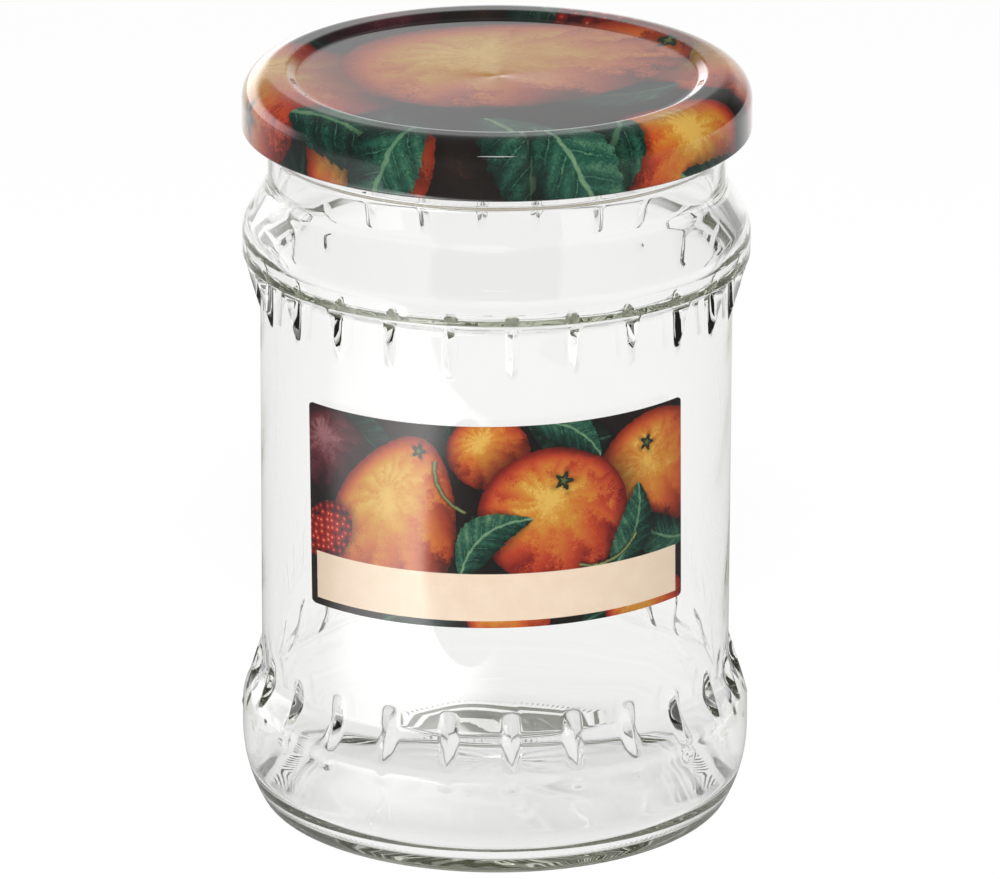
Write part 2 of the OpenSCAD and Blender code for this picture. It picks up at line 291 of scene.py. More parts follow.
def jarOutline(s):
    # outer line from the middle of the base to the lip, and the places that its parts meet at
    gap, turn = s["gap"], math.radians(s["sweepTurn"])
    bearingR = s["heelR"] - s["sweepR"] * (1 - math.cos(turn)) - s["footR"] * math.cos(turn)
    sweepZ = s["sweepR"] * math.sin(turn) + s["footR"] * (1 - math.sin(turn))
    hollowR = bearingR - s["bearingW"]
    share = np.concatenate([np.linspace(*part) for part in s["hollowShares"]])
    hollow = np.stack([hollowR * share, s["pushUp"] * (1 - share ** s["hollowPower"])], 1)
    heelStep, heelRise = ogeeLine(s["heelR"], s["heelEdgeZ"], s["wallR"], s["heelEdgeR"], s["heelCornerR"],
                                  s["heelSlope"], 1, gap["bend"])
    lowerFoot = (s["heelR"] - s["heelEdgeR"] + math.sqrt(s["heelEdgeR"] ** 2 - s["lowerFluteFoot"] ** 2),
                 s["heelEdgeZ"] + s["lowerFluteFoot"])
    lowerTop = (s["wallR"], lowerFoot[1] + s["lowerFlute"])
    neckR, partingZ = s["finishR"] - s["neckInset"], s["height"] - s["finishH"]
    bends = (s["shoulderRound"], s["neckRound"], s["shoulderSlope"], 1, gap["bulge"])
    shoulderRise = ogeeLine(s["shoulderR"], 0, neckR, *bends)[1]
    bandTop = partingZ - s["neckH"] - shoulderRise
    shoulder = ogeeLine(s["shoulderR"], bandTop, neckR, *bends)[0]
    shoulderEdge = bandTop - s["bandH"]
    shoulderStep, stepRise = ogeeLine(s["shoulderR"], shoulderEdge, s["wallR"], s["stepEdgeR"],
                                      s["stepCornerR"], s["stepSlope"], -1, gap["edge"])
    plainFrom = (s["wallR"], lowerTop[1] + s["fluteMargin"])
    plainTo = (s["wallR"], shoulderEdge - s["upperFlute"] - s["fluteMargin"])
    finishFoot = (s["finishR"], partingZ + s["neckInset"])
    lipZ = s["height"] - s["lipRound"]
    outline = joinLines(
        hollow,
        straightLine((hollowR, 0), (bearingR, 0), gap["bend"]),
        arcLine((bearingR, s["footR"]), s["footR"], -90, -s["sweepTurn"], gap["foot"]),
        arcLine((s["heelR"] - s["sweepR"], sweepZ), s["sweepR"], -s["sweepTurn"], 0, gap["bulge"]),
        straightLine((s["heelR"], sweepZ), (s["heelR"], s["heelEdgeZ"]), gap["bulge"]),
        heelStep,
        straightLine(heelStep[-1], plainFrom, gap["flute"]),
        straightLine(plainFrom, plainTo, gap["wall"]),
        straightLine(plainTo, shoulderStep[-1], gap["flute"]),
        shoulderStep[::-1],
        straightLine((s["shoulderR"], shoulderEdge), (s["shoulderR"], bandTop), gap["bulge"]),
        shoulder,
        straightLine(shoulder[-1], (neckR, partingZ), gap["bulge"]),
        easeLine((neckR, partingZ), finishFoot, gap["parting"]),
        straightLine(finishFoot, (s["finishR"], lipZ), gap["finish"]),
        arcLine((s["finishR"] - s["lipRound"], lipZ), s["lipRound"], 0, 90, gap["lip"]),
    )
    marks = {"bearingR": bearingR, "shoulderEdge": shoulderEdge, "bandTop": bandTop, "partingZ": partingZ,
             "heelStepZ": s["heelEdgeZ"] + heelRise / 2, "shoulderStepZ": shoulderEdge - stepRise / 2,
             "lowerFoot": lowerFoot, "lowerTop": lowerTop}
    return outline, marks


def jarInside(s, marks):
    # inner line from the lip down to the middle of the floor
    gap = s["gap"]
    boreR, wallR = s["finishR"] - s["lipW"], s["wallR"] - s["wallT"]
    heelR, shoulderR = s["heelR"] - s["wallT"], s["shoulderR"] - s["wallT"]
    half, floorR = s["stepInside"] / 2, heelR - s["floorCornerR"]
    heelZ, cornerZ = marks["heelStepZ"], s["floorZ"] + s["floorCornerR"]
    foldZ = marks["shoulderStepZ"] + s["foldUp"]      # thick glass under the shoulder's edge
    lipR, lipZ = boreR + s["lipRound"], s["height"] - s["lipRound"]
    innerShoulder, innerRise = ogeeLine(shoulderR, marks["bandTop"], boreR, s["shoulderRound"] - s["wallT"],
                                        s["neckRound"] + s["wallT"], s["shoulderSlope"], 1, gap["bend"])
    share = np.linspace(*s["floorShares"])
    crown = (s["pushUp"] + s["baseT"] - s["floorZ"]) * (1 - share * share * (3 - 2 * share))
    return joinLines(
        straightLine((s["finishR"] - s["lipRound"], s["height"]), (lipR, s["height"]), gap["finish"]),
        arcLine((lipR, lipZ), s["lipRound"], 90, 180, gap["lip"]),
        straightLine((boreR, lipZ), (boreR, marks["bandTop"] + innerRise), gap["bore"]),
        innerShoulder[::-1],
        easeLine((shoulderR, foldZ + half), (wallR, foldZ - half), gap["fold"]),
        straightLine((wallR, foldZ - half), (wallR, heelZ + half), gap["innerWall"]),
        easeLine((wallR, heelZ + half), (heelR, heelZ - half), gap["fold"]),
        straightLine((heelR, heelZ - half), (heelR, cornerZ), gap["fold"]),
        arcLine((floorR, cornerZ), s["floorCornerR"], 0, -90, gap["bulge"]),
        np.stack([floorR * share, s["floorZ"] + crown], 1),
    )


def fluteCrest(z, low, high, crown, past):
    # radius of a flute's crest at each height: an arc through its low and high points
    chord = math.dist(low, high)
    radius = (chord * chord / 4 + crown * crown) / (2 * crown)
    out = np.array([high[1] - low[1], low[0] - high[0]]) / chord
    centre = (np.array(low) + np.array(high)) / 2 - out * (radius - crown)
    crest = centre[0] + np.sqrt(np.maximum(radius ** 2 - (z - centre[1]) ** 2, 0))
    return np.where((z >= low[1] - past[0]) & (z <= high[1] + past[1]), crest, 0)


def ripple(s, angle, along, seed, size):
    # slow unevenness of moulded glass; each wave closes on itself round the jar
    random = np.random.default_rng(seed)
    total = np.zeros_like(angle)
    for wave in range(s["waves"]):
        turns, rate = int(random.integers(*s["waveTurns"])), random.uniform(*s["waveRates"])
        strength = random.uniform(*s["waveStrengths"])
        total += strength * np.sin(turns * angle + rate * along + random.uniform(0, 2 * math.pi))
    return total * size / s["waveSum"]


def makeJar(s):
    outer, marks = jarOutline(s)
    line = joinLines(outer, jarInside(s, marks))
    columns = s["flutes"] * s["columnsPerFlute"]
    z = np.repeat(line[:, 1:2], columns, axis=1)
    r = np.repeat(line[:, 0:1], columns, axis=1)
    along = np.concatenate([[0], np.cumsum(np.hypot(*np.diff(line, axis=0).T))])[:, None] + 0 * z
    isOuter = np.arange(len(line))[:, None] < len(outer)

    # columns crowd towards the flutes above the base, and are even on the bearing ring for its knurls
    share = (np.arange(columns) % s["columnsPerFlute"]) / s["columnsPerFlute"] * 2 - 1
    flute = np.arange(columns) // s["columnsPerFlute"]
    plain, cubed = s["columnShares"]
    crowded = plain * share + cubed * share ** 3
    even = window(z, *s["evenZ"])
    offset = (share * even + crowded * (1 - even)) * math.pi / s["flutes"]
    phase = math.radians(s["flutePhase"] - 90)
    angle = phase + flute * 2 * math.pi / s["flutes"] + offset

    upperFoot = (s["wallR"], marks["shoulderEdge"] - s["upperFlute"])
    upperTop = (s["shoulderR"], marks["shoulderEdge"])
    rows = ((upperFoot, upperTop, s["upperCrown"], s["upperHalfW"]),
            (marks["lowerFoot"], marks["lowerTop"], s["lowerCrown"], s["lowerHalfW"]))
    for low, high, crown, halfW in rows:
        # plane flanks, from full height at the crest to nothing at the sides
        share = 1 - np.clip(np.hypot(offset * s["fluteR"], s["crestSoft"]) / halfW, 0, 1)
        crest = fluteCrest(z, low, high, crown, s["crestPast"])
        raised = smoothMax(crest - r, 0, s["fluteSoft"]) * (crest > 0)
        r = np.where(isOuter, r + raised * share, r)

    # threads: each falls towards its tight end and fades out at both
    pitch = 2 * math.pi / s["threads"]
    around = (angle % pitch) - pitch / 2
    half = math.radians((360 / s["threads"] - s["threadGap"]) / 2)
    threadZ = s["threadMidZ"] + s["threadFall"] / 2 * around / half
    ridge = np.sqrt(np.maximum((s["threadW"] / 2) ** 2 - (z - threadZ) ** 2, 0)) - s["threadW"] / 2
    ridge = np.where(np.abs(z - threadZ) < s["threadW"] / 2, ridge, -s["threadOff"])
    reach = window(around, 0, half - s["threadFade"], s["threadFade"])
    thread = s["finishR"] + s["threadReach"] * reach - s["threadSink"] * (1 - reach) + ridge
    onFinish = isOuter & (z > marks["partingZ"] + s["threadClear"])
    r = np.where(onFinish, smoothMax(r, thread, s["threadSoft"]), r)

    # knurls: short grooves across the bearing ring
    ringRow = np.argmax(outer[:, 0] >= marks["bearingR"] - s["knurlInset"])
    ring = window(along, along[ringRow][0], s["knurlHalfW"], s["knurlFade"])
    groove = 0.5 - 0.5 * np.cos(s["knurls"] * (angle - phase))
    z = z + np.where(isOuter, ring * groove * s["knurlDepth"], 0)

    # the inside is less even than the outside, which the mould held
    inward = ripple(s, angle, along, s["insideSeed"], s["waviness"]) * window(z, *s["wavyInsideZ"])
    outward = ripple(s, angle, along, s["outsideSeed"], s["waviness"] * s["outsideShare"])
    outward = outward * window(z, *s["wavyOutsideZ"])
    r = np.where(isOuter, r - np.abs(outward), r + inward)
    lift = ripple(s, angle, along, s["floorSeed"], s["waviness"])
    for span in s["wavyFloorR"]:
        lift = lift * window(r, *span)
    z = np.where(isOuter, z, z + lift * window(z, *s["wavyFloorZ"]))
    return spinMesh("glassJar", r, z, angle)


jar = makeJar(jarSizes)
print("glass jar:", len(jar.data.polygons), "faces")

glassLook = {
    "ior": 1.52,
    "tint": (0.70, 0.72, 0.62),    # what the thickness lets through
    "tintDepth": 23,               # per metre
    "shadowTint": (0.93, 0.95, 0.93),
    "waves": {"Scale": 55, "Detail": 1.5, "Roughness": 0.4},
    "waveBump": {"Strength": 0.05, "Distance": 0.0012},
}


def makeGlass(look):
    material, start = newMaterial("clearGlass")
    wave = start.node("ShaderNodeTexNoise", {}, {
        "Vector": start.node("ShaderNodeTexCoord", output="Object"), **look["waves"]})
    bump = start.node("ShaderNodeBump", {}, {**look["waveBump"], "Height": wave})
    glass = start.node("ShaderNodeBsdfPrincipled", {}, {
        "Base Color": (1, 1, 1, 1), "Roughness": 0.0, "IOR": look["ior"], "Transmission Weight": 1.0,
        "Normal": bump})
    light = start.node("ShaderNodeBsdfTransparent", {}, {"Color": (*look["shadowTint"], 1)})
    isShadow = start.node("ShaderNodeLightPath", output="Is Shadow Ray")
    surface = start.node("ShaderNodeMixShader", {}, {0: isShadow, 1: glass, 2: light})
    depth = start.node("ShaderNodeVolumeAbsorption", {}, {
        "Color": (*look["tint"], 1), "Density": look["tintDepth"]})
    putOut(start, surface, depth)
    return material


clearGlass = makeGlass(glassLook)
jar.data.materials.append(clearGlass)
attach(jar, "jar")
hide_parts("glass_jar")


lidLow, lidHigh = boxSize("lid_shell")
lidSizes = {                  # mm and degrees
    "lidR": lidHigh[0], "top": lidHigh[2], "bottom": lidLow[2],
    "tinT": 0.25, "cornerR": 4.6, "rimW": 9.2, "panelDrop": 1.0, "panelSlope": 35, "panelRound": 0.8,
    "curlR": 0.65, "curlTurn": 250, "lugs": 6, "lugAngle": 13, "lugFade": 1.6, "lugT": 1.0, "lugTip": 39.5,
    "dent": 0.035, "dentR": 33, "dentFade": 4, "dentSpread": 0.6, "dentPhase": 0.7,    # the phase in radians
    # the mesh: its columns, its first ring, and the gaps between the points of its outline
    "columns": 360, "middleR": 0.8,
    "gap": {"panel": 0.9, "bend": 0.1, "slope": 0.15, "corner": 0.35, "plain": 0.5, "curl": 0.16},
}


def tinLine(s, depth):
    # the tinplate's line at a depth below its outer face, from the middle out to the end of the curl
    gap, slope = s["gap"], math.radians(s["panelSlope"])
    panelR, panelZ, bend = s["lidR"] - s["rimW"], s["top"] - s["panelDrop"], s["panelRound"]
    run = 2 * bend * math.sin(slope) + (s["panelDrop"] - 2 * bend * (1 - math.cos(slope))) / math.tan(slope)
    lower = arcLine((panelR, panelZ + bend), bend + depth, -90, s["panelSlope"] - 90, gap["bend"])
    upper = arcLine((panelR + run, s["top"] - bend), bend - depth, 90 + s["panelSlope"], 90, gap["bend"])
    cornerC = (s["lidR"] - s["cornerR"], s["top"] - s["cornerR"])
    corner = arcLine(cornerC, s["cornerR"] - depth, 90, 0, gap["corner"])
    curlC, curlR = (s["lidR"] - s["curlR"], s["bottom"] + s["curlR"]), s["curlR"] - depth
    curl = arcLine(curlC, curlR, 0, -s["curlTurn"], gap["curl"] * curlR / s["curlR"])
    return joinLines(
        straightLine((s["middleR"], panelZ - depth), (panelR, panelZ - depth), gap["panel"]),
        lower, straightLine(lower[-1], upper[0], gap["slope"]), upper,
        straightLine(upper[-1], corner[0], gap["plain"]), corner,
        straightLine(corner[-1], curl[0], gap["plain"]), curl), len(curl)


def makeLid(s):
    outer, curlCount = tinLine(s, 0)
    inner, innerCurl = tinLine(s, s["tinT"])
    inner = inner[::-1]
    run = np.concatenate([[outer[0][0]], outer[0][0] + np.cumsum(np.hypot(*np.diff(outer, axis=0).T))])
    line = np.concatenate([outer, inner])
    r = np.repeat(line[:, 0:1], s["columns"], axis=1)
    z = np.repeat(line[:, 1:2], s["columns"], axis=1)
    angle = np.arange(s["columns"])[None, :] * 2 * math.pi / s["columns"] + 0 * r

    # lugs: at six places the curl is pressed inwards into a flat tongue
    pitch = 2 * math.pi / s["lugs"]
    around = (angle + pitch / 2) % pitch - pitch / 2
    halfAngle, fade = s["lugAngle"] / 2 - s["lugFade"] / 2, s["lugFade"]
    pressed = window(around, 0, math.radians(halfAngle), math.radians(fade))
    curlC = np.array([s["lidR"] - s["curlR"], s["bottom"] + s["curlR"]])
    isCurl = np.zeros(len(line), bool)
    isCurl[len(outer) - curlCount:len(outer) + innerCurl] = True
    turn = np.degrees(np.arctan2(line[:, 1] - curlC[1], line[:, 0] - curlC[0]))
    turn = np.where(turn > 5, turn - 360, turn)       # from 0 outside down to the curl's end
    inwards = np.clip((-90 - turn) / 90, 0, 1)
    reach = (curlC[0] - s["curlR"] - s["lugTip"]) * inwards * inwards * (3 - 2 * inwards)
    flat = (s["lugT"] / 2 / s["curlR"] - 1) * (line[:, 1] - curlC[1]) * inwards
    r = r - pressed * np.where(isCurl, reach, 0)[:, None]
    z = z + pressed * np.where(isCurl, flat, 0)[:, None]

    # the panel isn't quite flat, and sags a little towards its middle
    inPanel = window(r, 0, s["lidR"] - s["rimW"] - s["dentFade"], s["dentFade"])
    uneven = 1 + s["dentSpread"] * np.sin(2 * angle + s["dentPhase"])
    z = z - inPanel * (s["dent"] * uneven * (1 - (r / s["dentR"]) ** 2))
    lid = spinMesh("lidShell", r, z, angle)
    place = np.zeros((len(line), s["columns"], 3))
    place[:len(outer), :, 0] = run[:, None] * np.cos(angle[:len(outer)])
    place[:len(outer), :, 1] = run[:, None] * np.sin(angle[:len(outer)])
    place[len(outer):, :, 2] = 1
    markPrint(lid, np.concatenate([place.reshape(-1, 3), [[0, 0, 0], [0, 0, 1]]]))
    return lid


lid = makeLid(lidSizes)
print("lid:", len(lid.data.polygons), "faces")
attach(lid, "lid")
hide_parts("lid_shell")


labelLow, labelHigh = boxSize("label")
labelDrop = 0.55              # mm; the photo's label sits this much lower than the solid's
labelSizes = {                # mm and degrees
    "length": 70, "height": 35, "midZ": (labelLow[2] + labelHigh[2]) / 2 - labelDrop,
    "faceR": -labelLow[1], "paperT": 0.12, "lean": 1.0, "cornerR": 0.8,
    "across": 140, "up": 70, "sharpAngle": 50,
    "endColumns": (0.94, 0.976, 0.4), "endRows": (0.9, 0.95, 0.5),    # as crowdEnds takes them
}


def crowdEnds(share, start, place, rate):
    # shares from -1 to 1: those up to start spread out to place, and those past it come at a slower rate
    far = np.abs(share)
    return np.where(far > start, np.sign(share) * (place + (far - start) * rate), share * place / start)


def makeLabel(s):
    # the last rows and columns are close together, so that the corners come out round
    u = crowdEnds(np.linspace(-1, 1, s["across"] + 1), *s["endColumns"])
    v = crowdEnds(np.linspace(-1, 1, s["up"] + 1), *s["endRows"])
    length, height, corner = s["length"] / 2, s["height"] / 2, s["cornerR"]
    t = v[:, None] * height + 0 * u[None, :]
    past = np.maximum(np.abs(t) - (height - corner), 0)
    inset = corner - np.sqrt(np.maximum(corner ** 2 - past ** 2, 0))
    p = u[None, :] * (length - inset)
    lean = math.radians(s["lean"])
    turn = (p * math.cos(lean) - t * math.sin(lean)) / s["faceR"]
    z = s["midZ"] + p * math.sin(lean) + t * math.cos(lean)
    rows, columns = p.shape
    index = np.arange(rows * columns).reshape(rows, columns)
    quads = np.stack([index[:-1, :-1], index[:-1, 1:], index[1:, 1:], index[1:, :-1]], 2).reshape(-1, 4)
    points, places = [], []
    for side, radius in enumerate((s["faceR"], s["faceR"] - s["paperT"])):
        points.append(np.stack([radius * np.sin(turn), -radius * np.cos(turn), z], 2).reshape(-1, 3) * mm)
        places.append(np.stack([p, t, np.full_like(p, side)], 2).reshape(-1, 3))
    back = rows * columns
    rim = np.concatenate([index[0, :-1], index[:-1, -1], index[-1, :0:-1], index[:0:-1, 0]])
    after = np.roll(rim, -1)
    edge = np.stack([after, rim, rim + back, after + back], 1)
    label = meshPiece("label", np.concatenate(points), quads, (quads + back)[:, ::-1], edge)
    label.data.set_sharp_from_angle(angle=math.radians(s["sharpAngle"]))
    markPrint(label, np.concatenate(places))
    return label


label = makeLabel(labelSizes)
print("label:", len(label.data.polygons), "faces")
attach(label, "jar")
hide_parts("label")


paint = {                     # ramps from the rim of a motif, 0, to its lit middle, 1
    "apple": ((0.0, srgb(60, 14, 10)), (0.2, srgb(128, 32, 22)), (0.42, srgb(176, 62, 34)),
              (0.62, srgb(190, 98, 40)), (0.84, srgb(194, 134, 48)), (1.0, srgb(212, 168, 80))),
    "apricot": ((0.0, srgb(70, 20, 12)), (0.22, srgb(146, 46, 24)), (0.5, srgb(188, 86, 38)),
                (0.8, srgb(198, 128, 46)), (1.0, srgb(214, 168, 80))),
    "pear": ((0.0, srgb(72, 26, 14)), (0.22, srgb(146, 52, 28)), (0.46, srgb(186, 96, 40)),
             (0.74, srgb(196, 138, 48)), (1.0, srgb(212, 172, 84))),
    "plum": ((0.0, srgb(20, 10, 14)), (0.35, srgb(54, 20, 28)), (0.7, srgb(96, 42, 48)),
             (1.0, srgb(150, 100, 104))),
    "berry": ((0.0, srgb(58, 6, 8)), (0.4, srgb(142, 22, 20)), (0.8, srgb(188, 50, 38)),
              (1.0, srgb(228, 140, 110))),
    "leaf": ((0.0, srgb(8, 18, 16)), (0.35, srgb(16, 46, 38)), (0.62, srgb(38, 84, 66)),
             (0.85, srgb(84, 122, 92)), (1.0, srgb(134, 158, 118))),
    "ground": ((0.0, srgb(16, 12, 10)), (0.6, srgb(30, 22, 17)), (1.0, srgb(62, 34, 22))),
    "stalk": ((0.0, srgb(34, 42, 26)), (0.5, srgb(86, 98, 56)), (1.0, srgb(150, 158, 102))),
}
everyMotif = ["x", "y", "brush", "patch"]    # what the sheet gives to each motif
motifs = {}


def makeMotif(name, sizes, build):
    # a node group, made once for all the motifs of its kind; build gives its shade, mask and tone
    tree = bpy.data.node_groups.new(name, "ShaderNodeTree")
    for label in everyMotif + sizes:
        tree.interface.new_socket(label, in_out="INPUT", socket_type="NodeSocketFloat")
    for label, kind in (("shade", "Float"), ("mask", "Float"), ("tone", "Color")):
        tree.interface.new_socket(label, in_out="OUTPUT", socket_type="NodeSocket" + kind)
    entry = Socket(tree).node("NodeGroupInput")
    results = build(*[entry.other(label) for label in everyMotif + sizes])
    Socket(tree).node("NodeGroupOutput", {}, dict(zip(("shade", "mask", "tone"), results)))
    motifs[name] = tree


def turned(x, y, cos, sin):
    # a place seen along and across a motif's own axis
    return x * cos + y * sin, y * cos - x * sin


def fruitNodes(kind):
    def build(x, y, brush, patch, midX, midY, cos, sin, length, width, taper, lightU, lightV, soft):
        u, v = turned(x - midX, y - midY, cos, sin)
        u, v = u / (length * 0.5), v / (width * 0.5)
        v = v / (1 - taper * u)
        reach = (u * u + v * v).root()
        mask = reach.step(1, 1 - soft / width)
        shade = reach.step(1.45, 0.8) * 0.85
        lu, lv = turned(lightU, lightV, cos, sin)
        du, dv = u - lu, v - lv
        away = (du * du + dv * dv).root()
        # faint streaks that run out from the lit side
        around = dv.apply("ARCTAN2", du)
        waves = around * 13 + brush * 7 + patch * 9
        streak = waves.apply("SINE") * 0.13
        glow = 1.04 - away * 0.74 + brush * 0.5 + patch * 0.5 + streak * reach
        tone = glow.least((1 - reach) * 2.6 + 0.06 + brush * 0.12).ramp(paint[kind])
        return shade, mask, tone
    return build


def leafNodes(x, y, brush, patch, midX, midY, cos, sin, length, width, bend, lightness, soft):
    # the place given is the leaf's foot, and its turn the way that it points
    u, v = turned(x - midX, y - midY, cos, sin)
    u = u / length
    v = v / length - u * (1 - u) * (4 * bend)
    half = (u * (1 - u)).most(0.0001) ** 0.8 * (1.25 - 0.5 * u) * (width / length * 1.35)
    teeth = (u * 13 + brush).fraction() * 0.1 + 0.93
    side = v.absolute()
    across = side / half
    inLeaf = u.step(0.0, 0.01) * u.step(1.0, 0.99)
    mask = (across / teeth).step(1, 1 - soft / width) * inLeaf
    shade = across.step(1.7, 0.7) * u.step(-0.08, 0.08) * u.step(1.08, 0.92) * 0.8
    ribs = (u - side * 0.9) * 7 + 0.25
    gap = (ribs.fraction() - 0.5).absolute()
    body = 0.36 + lightness + brush * 0.7 + patch * 0.5 + gap * 0.5 + v / half * 0.2 - across * across * 0.12
    vein = gap.step(0.07, 0.01) * across.step(0.98, 0.3) * (0.5 + brush)
    midrib = (side * length).step(width * 0.04, width * 0.014) * 0.8
    body = vein.most(midrib) * (0.95 + lightness - body) + body
    return shade, mask, body.ramp(paint["leaf"])


def berryNodes(x, y, brush, patch, midX, midY, cos, sin, length, width, cell, size, soft):
    # a cluster of round drupelets inside an oval
    u, v = turned(x - midX, y - midY, cos, sin)
    long, wide = u / (length * 0.5), v / (width * 0.5)
    reach = (long * long + wide * wide).root()
    glow = 0.98 - cell * 1.2 + brush * 0.35 - reach.step(0.3, 1.1) * 0.42
    glow = (cell + brush * 0.2).step(0.16, 0.08) * 0.3 + glow
    mask = (reach + (cell - 0.4) * (size * 0.6 / width)).step(1, 1 - soft / width)
    return reach.step(1.35, 0.8) * 0.8, mask, glow.ramp(paint["berry"])


def stalkNodes(x, y, brush, patch, midX, midY, radius, middle, half, thickness, soft):
    # a thin curved stalk: part of a ring
    dx, dy = x - midX, y - midY
    band = ((dx * dx + dy * dy).root() - radius).absolute()
    around = (dy.apply("ARCTAN2", dx) * (180 / math.pi) - middle) / 360 + 0.5
    inside = ((around.fraction() - 0.5) * 360).absolute().step(half, half - 2)
    mask = band.step(thickness * 0.5, thickness * 0.5 - soft * 0.3) * inside
    shade = band.step(thickness * 1.3, thickness * 0.4) * inside * 0.7
    return shade, mask, (0.85 - band / thickness * 1.3 + brush * 0.8).ramp(paint["stalk"])


def calyxNodes(x, y, brush, patch, midX, midY, size, soft):
    # the small dark star at a fruit's eye
    dx, dy = x - midX, y - midY
    around = dy.apply("ARCTAN2", dx) * 5
    star = (dx * dx + dy * dy).root() / (around.apply("COSINE") * 0.35 + 1) + brush * (size * 0.5)
    glow = star.step(size * 0.5, size * 0.2) * 0.5
    shade = star.step(size * 1.9, size * 0.8) * 0.45
    return shade, star.step(size, size - soft * 0.5), glow.ramp(paint["stalk"])


spot = ["midX", "midY"]
axis = spot + ["cos", "sin", "length", "width"]
for kind in ("apple", "apricot", "pear", "plum"):
    makeMotif(kind, axis + ["taper", "lightU", "lightV", "soft"], fruitNodes(kind))
makeMotif("leaf", axis + ["bend", "lightness", "soft"], leafNodes)
makeMotif("berries", axis + ["cell", "size", "soft"], berryNodes)
makeMotif("stalk", spot + ["radius", "middle", "half", "thickness", "soft"], stalkNodes)
makeMotif("calyx", spot + ["size", "soft"], calyxNodes)


brushwork = {                 # in mm, and the rates per mm, for a print at scale 1
    "wobble": 0.9, "wobbleRate": 0.45, "strokeRate": 1.1, "patchRate": 0.13, "drupelet": 2.5, "edge": 0.32,
    "shadow": srgb(14, 10, 8),
}


class Sheet:
    # the flat sheet that a print lies on: its place in mm, and the brush noises that every motif shares
    def __init__(self, start, scale):
        self.start = start
        self.place = start.node("ShaderNodeAttribute", {"attribute_name": "printPlace"}, output="Vector")
        wobble = start.node("ShaderNodeTexNoise", {"noise_dimensions": "2D"}, {
            "Vector": self.place, "Scale": brushwork["wobbleRate"] / scale, "Detail": 2.0}, output="Color")
        shifted = start.node("ShaderNodeVectorMath", {"operation": "MULTIPLY_ADD"}, {
            0: wobble, 1: (brushwork["wobble"] * scale,) * 3, 2: self.place})
        x = start.node("ShaderNodeSeparateXYZ", {}, {0: shifted}, output=0) - brushwork["wobble"] / 2 * scale
        y = start.node("ShaderNodeSeparateXYZ", {}, {0: shifted}, output=1) - brushwork["wobble"] / 2 * scale
        self.back = start.node("ShaderNodeSeparateXYZ", {}, {0: self.place}, output=2)
        self.brush = start.node("ShaderNodeTexNoise", {"noise_dimensions": "2D"}, {
            "Vector": self.place, "Scale": brushwork["strokeRate"] / scale, "Detail": 4.0, "Roughness": 0.65,
            "Distortion": 1.2}) - 0.5
        self.patch = start.node("ShaderNodeTexNoise", {"noise_dimensions": "2D"}, {
            "Vector": self.place, "Scale": brushwork["patchRate"] / scale, "Detail": 2.0}) - 0.5
        self.cellSize = brushwork["drupelet"] * scale
        self.cell = start.node("ShaderNodeTexVoronoi", {"voronoi_dimensions": "2D"}, {
            "Vector": self.place, "Scale": 1 / self.cellSize, "Randomness": 0.55}, output="Distance")
        self.shared = {"x": x, "y": y, "brush": self.brush, "patch": self.patch,
                       "soft": brushwork["edge"] * scale}
        self.colour = (self.brush + self.patch + 0.5).ramp(paint["ground"])

    def lay(self, motif, x, y, **sizes):
        # lays a motif over what is there already, with its soft shadow under it
        values = {"midX": x, "midY": y, **self.shared, **sizes}
        shade = self.start.node("ShaderNodeGroup", {"node_tree": motifs[motif]}, values, output="shade")
        below = shade.over(self.colour, (*brushwork["shadow"], 1))
        self.colour = shade.other("mask").over(below, shade.other("tone"))

    def withBack(self, backColour):
        # the printed side is marked 0 and the other side 1
        return self.back.step(0.4, 0.6).over(self.colour, backColour)

    def fruit(self, kind, x, y, length, width, turn=0, taper=0.0, light=(-0.25, 0.3)):
        self.lay(kind, x, y, length=length, width=width, taper=taper, lightU=light[0], lightV=light[1],
                 cos=math.cos(math.radians(turn)), sin=math.sin(math.radians(turn)))

    def leaf(self, x, y, length, width, turn=0, bend=0.15, lightness=0.0):
        self.lay("leaf", x, y, length=length, width=width, bend=bend, lightness=lightness,
                 cos=math.cos(math.radians(turn)), sin=math.sin(math.radians(turn)))

    def berries(self, x, y, length, width, turn):
        self.lay("berries", x, y, length=length, width=width, cell=self.cell, size=self.cellSize,
                 cos=math.cos(math.radians(turn)), sin=math.sin(math.radians(turn)))

    def stalk(self, x, y, radius, start, end, thickness):
        self.lay("stalk", x, y, radius=radius, middle=(start + end) / 2, half=(end - start) / 2,
                 thickness=thickness)


